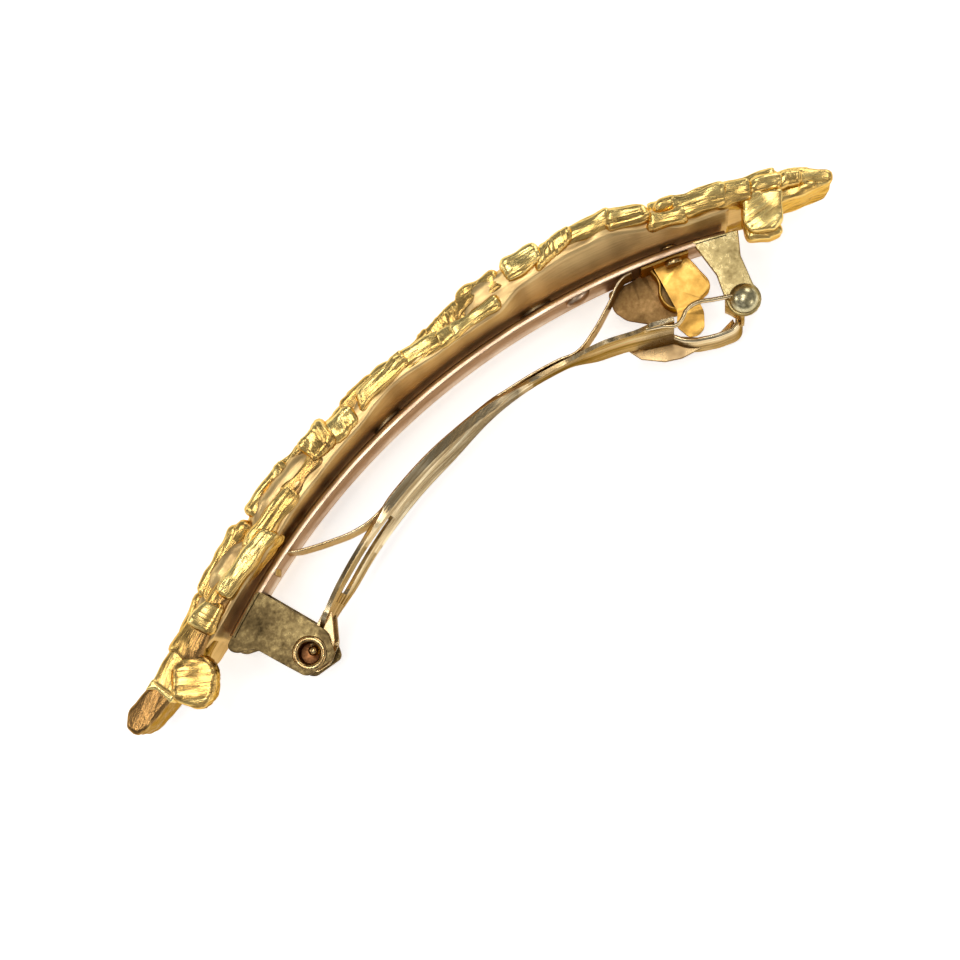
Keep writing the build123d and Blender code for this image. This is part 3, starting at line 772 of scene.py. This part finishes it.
# Lines across the arm, as shares of its half width inside the lips. Pressed grooves zigzag
# between them; one flank of each is painted darker as painted shade, and each flank's length is
# given.
rib_lines = (1.0, 0.8, 0.6, 0.42, 0.2, 0.0)
painted_shade_ends = {2: 9.5, 4: 6.0, 6: 8.5, 8: 4.0}
slot_strips = range(4, 8)
arm_bm = bmesh.new()
strips = 2 * len(rib_lines)
bmesh.ops.create_grid(arm_bm, x_segments=98, y_segments=strips, size=1)
columns = {vert: round((vert.co.y + 1) * strips / 2) for vert in arm_bm.verts}
for vert, column in columns.items():
    vert.co.x = arm_start + (arm_end - arm_start) * (vert.co.x + 1) / 2
    half = between(arm_half_widths, vert.co.x)
    side = -1 if column < strips / 2 else 1
    if column in (0, strips):
        vert.co.y = side * half
    else:
        line = min(column, strips - column) - 1
        vert.co.y = side * rib_lines[line] * (half - lip_width)
        vert.co.z = between(arm_ribs, vert.co.x) * (-1 if column % 2 else 1)
slot_faces = []
# Faces on one flank of each pressed groove get the darker material, painted shade along the groove.
for face in arm_bm.faces:
    strip = min(columns[vert] for vert in face.verts)
    x = face.calc_center_median().x
    if slot_start < x < slot_end and strip in slot_strips:
        slot_faces.append(face)
    elif groove_start < x < painted_shade_ends.get(strip, groove_start):
        face.material_index = 1
bmesh.ops.delete(arm_bm, geom=slot_faces, context="FACES")
for vert in arm_bm.verts:
    x, across, rib = vert.co
    half = between(arm_half_widths, x)
    edge_share = max(0.0, (abs(across) - half + lip_width) / lip_width)
    out = between(arm_lips, x) * edge_share + rib
    out -= between(arm_twist, x) * (half - across) / (2 * half)
    vert.co = arch_point(arm_radius * math.asin((x - arm_crown[0]) / arm_radius) + arm_crown[0],
                         out, mid_z + across, arm_crown, arm_radius)
bmesh.ops.recalc_face_normals(arm_bm, faces=arm_bm.faces)
if sum(f.normal.y for f in arm_bm.faces) > 0:
    bmesh.ops.reverse_faces(arm_bm, faces=arm_bm.faces)
bmesh.ops.solidify(arm_bm, geom=arm_bm.faces[:], thickness=arm_sheet * mm)


def ribbon(bm, route, low_z, high_z, thickness, lean=0.0):
    """Adds a bent strip along an (x, y) route, its width along z and leaning as it goes down."""
    curve = bpy.data.curves.new("ribbon", "CURVE")
    curve.dimensions = "2D"
    curve.fill_mode = "NONE"
    curve.extrude = (high_z - low_z - thickness) / 2 * mm
    curve.bevel_depth = thickness / 2 * mm
    curve.bevel_resolution = 2
    spline = curve.splines.new("BEZIER")
    spline.resolution_u = 10
    spline.bezier_points.add(len(route) - 1)
    for point, (x, y) in zip(spline.bezier_points, route):
        point.co = (x * mm, y * mm, 0)
        point.handle_left_type = point.handle_right_type = "AUTO"
    curve.use_fill_caps = True
    strip = bpy.data.objects.new("ribbon", curve)
    bpy.context.scene.collection.objects.link(strip)
    strip_mesh = bpy.data.meshes.new_from_object(
        strip.evaluated_get(bpy.context.evaluated_depsgraph_get()))
    for vert in strip_mesh.vertices:
        vert.co.y += lean * vert.co.z
        vert.co.z += (low_z + high_z) / 2 * mm
    bm.from_mesh(strip_mesh)
    bpy.data.objects.remove(strip)
    bpy.data.curves.remove(curve)
    bpy.data.meshes.remove(strip_mesh)
    bmesh.ops.remove_doubles(bm, verts=bm.verts, dist=1e-7)


near_rail = [(21.6, -3.9), (23.2, -4.7), (24.5, -5.5), (25.4, -5.3), (26.3, -4.85), (27.6, -4.9),
             (29.2, -5.7), (31.0, -6.6)]
far_rail = [(22.2, -4.6), (23.6, -5.0), (24.3, -5.9), (25.2, -7.1), (27.0, -8.2), (28.8, -8.9),
            (30.3, -9.1), (31.2, -8.3)]
head_lobe = [(19.6, -3.5), (20.2, -5.2), (22.1, -7.0), (23.8, -7.8), (26.2, -8.2), (28.8, -8.7),
             (30.7, -8.2), (30.8, -7.7), (28.8, -8.0), (26.8, -7.2), (24.7, -5.4), (23.2, -3.8)]
cut_sheet(arm_bm, head_lobe, mid_z - 4.2, mid_z - 3.8, 0.0, 0.08)
ribbon(arm_bm, near_rail, mid_z + 2.9, mid_z + 3.7, 0.42)
ribbon(arm_bm, far_rail, mid_z - 4.9, mid_z - 2.2, 0.5, 0.35)
ribbon(arm_bm, [(30.5, -6.4), (30.9, -7.2), (31.1, -8.2), (31.0, -8.8)], mid_z - 3.0, mid_z + 3.4,
       0.4, 0.1)
lug_outline = [(-27.6, -7.8), (-25.3, -7.85), (-23.2, -6.8), (-22.7, -7.3), (-24.5, -10.3),
               (-26.4, -11.5), (-28.2, -11.4), (-29.2, -9.8), (-28.9, -8.5)]
for lug_z in (mid_z - 2.05, mid_z + 1.5):
    cut_sheet(arm_bm, lug_outline, lug_z, lug_z + lug_sheet, 0.3, 0.08, rivet_hole)
arm_brass = sheet_finish("arm_brass", (0.17, 0.10, 0.045), (0.56, 0.40, 0.20),
                         (1.0, 0.86, 0.58), 200.0, (0.16, 0.34), (0.15, 0.15, 4.5), 0.3,
                         (0.48, 0.34, 0.19))
spring_brass = sheet_finish("spring_brass", (0.35, 0.24, 0.12), (0.72, 0.55, 0.30),
                            (0.95, 0.80, 0.55), 300.0, (0.16, 0.30))
# Dark brown painted shade for one flank of each pressed groove.
arm_groove_painted_shade = sheet_finish("arm_groove_painted_shade", (0.07, 0.042, 0.02), (0.17, 0.11, 0.055),
                           (0.36, 0.26, 0.14), 200.0, (0.3, 0.45), (0.15, 0.15, 4.5), 0.3,
                           (0.30, 0.20, 0.11))
clasp_arm = new_object(arm_bm, "clasp_arm_sheet", arm_brass, arm_groove_painted_shade, spring_brass)
# The near rail gets the paler spring brass: a painted highlight for its bright reflection.
for face in clasp_arm.data.polygons:
    on_near_rail = face.center.x > 21.4 * mm and face.center.z > (mid_z + 2.85) * mm
    if on_near_rail:
        face.material_index = 2
arm_edge = clasp_arm.modifiers.new("broken_edges", "BEVEL")
arm_edge.width = 0.08 * mm
arm_edge.segments = 2
arm_edge.limit_method = "ANGLE"
arm_edge.angle_limit = math.radians(50)
finish_sheet(clasp_arm, "arm", "clip_brass", "clasp_arm", angle=50)


# --- Tension bow: thin springy strip hooked under the bar near both ends; it bears on the arm
# along the middle and pushes it against the latch.
bow_sheet = 0.28
bow_half_width = 1.6
bow_middle_above_arm = 0.3


def seat(x):
    """Middle of the bow's thickness where it lies on the arm."""
    rise = arm_sheet + bow_middle_above_arm
    return arm_crown[1] + rise - (arm_radius + rise) + math.sqrt(
        (arm_radius + rise) ** 2 - (x - arm_crown[0]) ** 2)


bow_route = [(-25.4, bar_height(-25.4) - 0.3), (-24.0, 0.75), (-21.7, -0.2), (-18.8, -1.25),
             (-15.8, -2.05), (-13.2, seat(-13.2) + 0.15), (-9.5, seat(-9.5)), (-4.0, seat(-4.0)),
             (2.0, seat(2.0)), (8.0, seat(8.0)), (12.4, seat(12.4)), (14.6, -1.1), (17.2, -0.45),
             (20.4, 0.95), (23.2, 2.3), (24.4, bar_height(24.4) - 0.3)]
bow_bm = bmesh.new()
ribbon(bow_bm, bow_route, mid_z - bow_half_width, mid_z + bow_half_width, bow_sheet, 0.04)
tension_bow = new_object(bow_bm, "tension_bow_strip", spring_brass)
finish_sheet(tension_bow, "clip", "spring_brass", "tension_bow")


# --- Latch catch: one springy stamping riveted under the bar, with a tongue that stands in the
# arm's window and a far wall ending in a rounded finger tab.
catch_sheet = 0.4
tongue_z = mid_z - 0.9
wall_z = mid_z - 2.9
web_near_z = mid_z + 1.6
catch_bm = bmesh.new()
tongue = [(26.9, 1.75), (30.4, 0.75), (30.6, -3.9), (28.6, -4.1), (28.3, -5.6), (27.2, -7.1),
          (26.2, -7.3), (25.3, -6.8), (24.95, -5.1), (26.0, -3.9), (26.6, -0.5)]
far_wall = [(30.4, 0.65), (25.7, 2.0), (24.4, 2.1), (21.6, 2.7), (20.9, 0.6), (21.4, -1.0),
            (23.2, -2.9), (25.4, -3.6), (26.8, -4.3), (30.3, -3.6)]
cut_sheet(catch_bm, tongue, tongue_z, tongue_z + catch_sheet, 0.35, 0.07)
cut_sheet(catch_bm, far_wall, wall_z, wall_z + catch_sheet, 0.4, 0.07)
ribbon(catch_bm, [(25.5, bar_height(25.5) - 0.3), (28.0, bar_height(28.0) - 0.3),
                  (30.6, bar_height(30.6) - 0.3)], wall_z, web_near_z, 0.36)
ribbon(catch_bm, [(26.6, 1.6), (26.5, 0.0), (25.7, -1.4), (25.8, -3.0), (26.8, -3.9)],
       mid_z - 2.7, mid_z - 0.6, 0.3)
ribbon(catch_bm, [(30.4, 0.8), (30.6, -1.5), (30.4, -3.7), (29.4, -4.0), (28.4, -4.2)],
       mid_z - 2.7, mid_z - 0.6, 0.3)
catch_brass = sheet_finish("catch_brass", (0.40, 0.21, 0.045), (0.60, 0.34, 0.075),
                           (0.80, 0.50, 0.14), 150.0, (0.26, 0.40), edge_tint=(0.6, 0.38, 0.12))
# Dark brown painted shade for the catch's far wall and its finger tab.
catch_painted_shade = sheet_finish("catch_painted_shade", (0.14, 0.075, 0.025), (0.22, 0.125, 0.045),
                           (0.34, 0.20, 0.08), 240.0, (0.36, 0.5), edge_tint=(0.3, 0.2, 0.1))
latch_catch = new_object(catch_bm, "latch_catch_sheet", catch_brass, catch_painted_shade)
# Faces on the far side of the catch get the painted shade.
for face in latch_catch.data.polygons:
    if face.center.z < (mid_z - 2.45) * mm and face.center.x < 30.6 * mm:
        face.material_index = 1
finish_sheet(latch_catch, "catch", "catch_brass", "latch_catch")


# --- Catch rivet: a small solid brass rivet through the bar and the catch's web, its flat head
# under the web. It holds the catch by its web.
def dressed(node, name, material, edge, body):
    """Makes a piece from its CAD shape, with its sharp edges broken by a small bevel."""
    bm = bmesh.new()
    bm.from_mesh(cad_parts[node].data)
    bmesh.ops.remove_doubles(bm, verts=bm.verts, dist=1e-6)
    bmesh.ops.dissolve_limit(bm, angle_limit=math.radians(0.5), verts=bm.verts[:],
                             edges=bm.edges[:])
    piece = new_object(bm, name, material)
    bevel = piece.modifiers.new("broken_edges", "BEVEL")
    bevel.width = edge * mm
    bevel.segments = 2
    bevel.limit_method = "ANGLE"
    bevel.angle_limit = math.radians(35)
    bevel.harden_normals = True
    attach(piece, body)
    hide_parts(node)


rivet_brass = sheet_finish("rivet_brass", (0.20, 0.13, 0.06), (0.55, 0.38, 0.16),
                           (0.90, 0.70, 0.36), 420.0, (0.2, 0.4))
dressed("catch_rivet", "catch_rivet_head", rivet_brass, 0.06, "clip")


# --- Solder: two beads run in between the bar and the casting's rib, and hold the bar there. A
# blob of the same solder ran through under the bar, toward the latch, on its near side.
solder_grey = sheet_finish("solder", (0.16, 0.11, 0.06), (0.42, 0.32, 0.18),
                           (0.60, 0.48, 0.30), 500.0, (0.35, 0.55))
dressed("solder_pads", "solder_beads", solder_grey, 0.05, "clip")

blob_x = 18.3
blob_bm = bmesh.new()
blob_place = Matrix.Translation(Vector((blob_x, bar_height(blob_x) - 0.15, mid_z + 0.9)) * mm)
bmesh.ops.create_icosphere(blob_bm, subdivisions=4, radius=mm,
                           matrix=blob_place @ Matrix.Diagonal((1.5, 0.75, 1.1, 1)))
solder_blob = new_object(blob_bm, "solder_blob", bar_polish)
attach(solder_blob, "clip")
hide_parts("solder_pads")
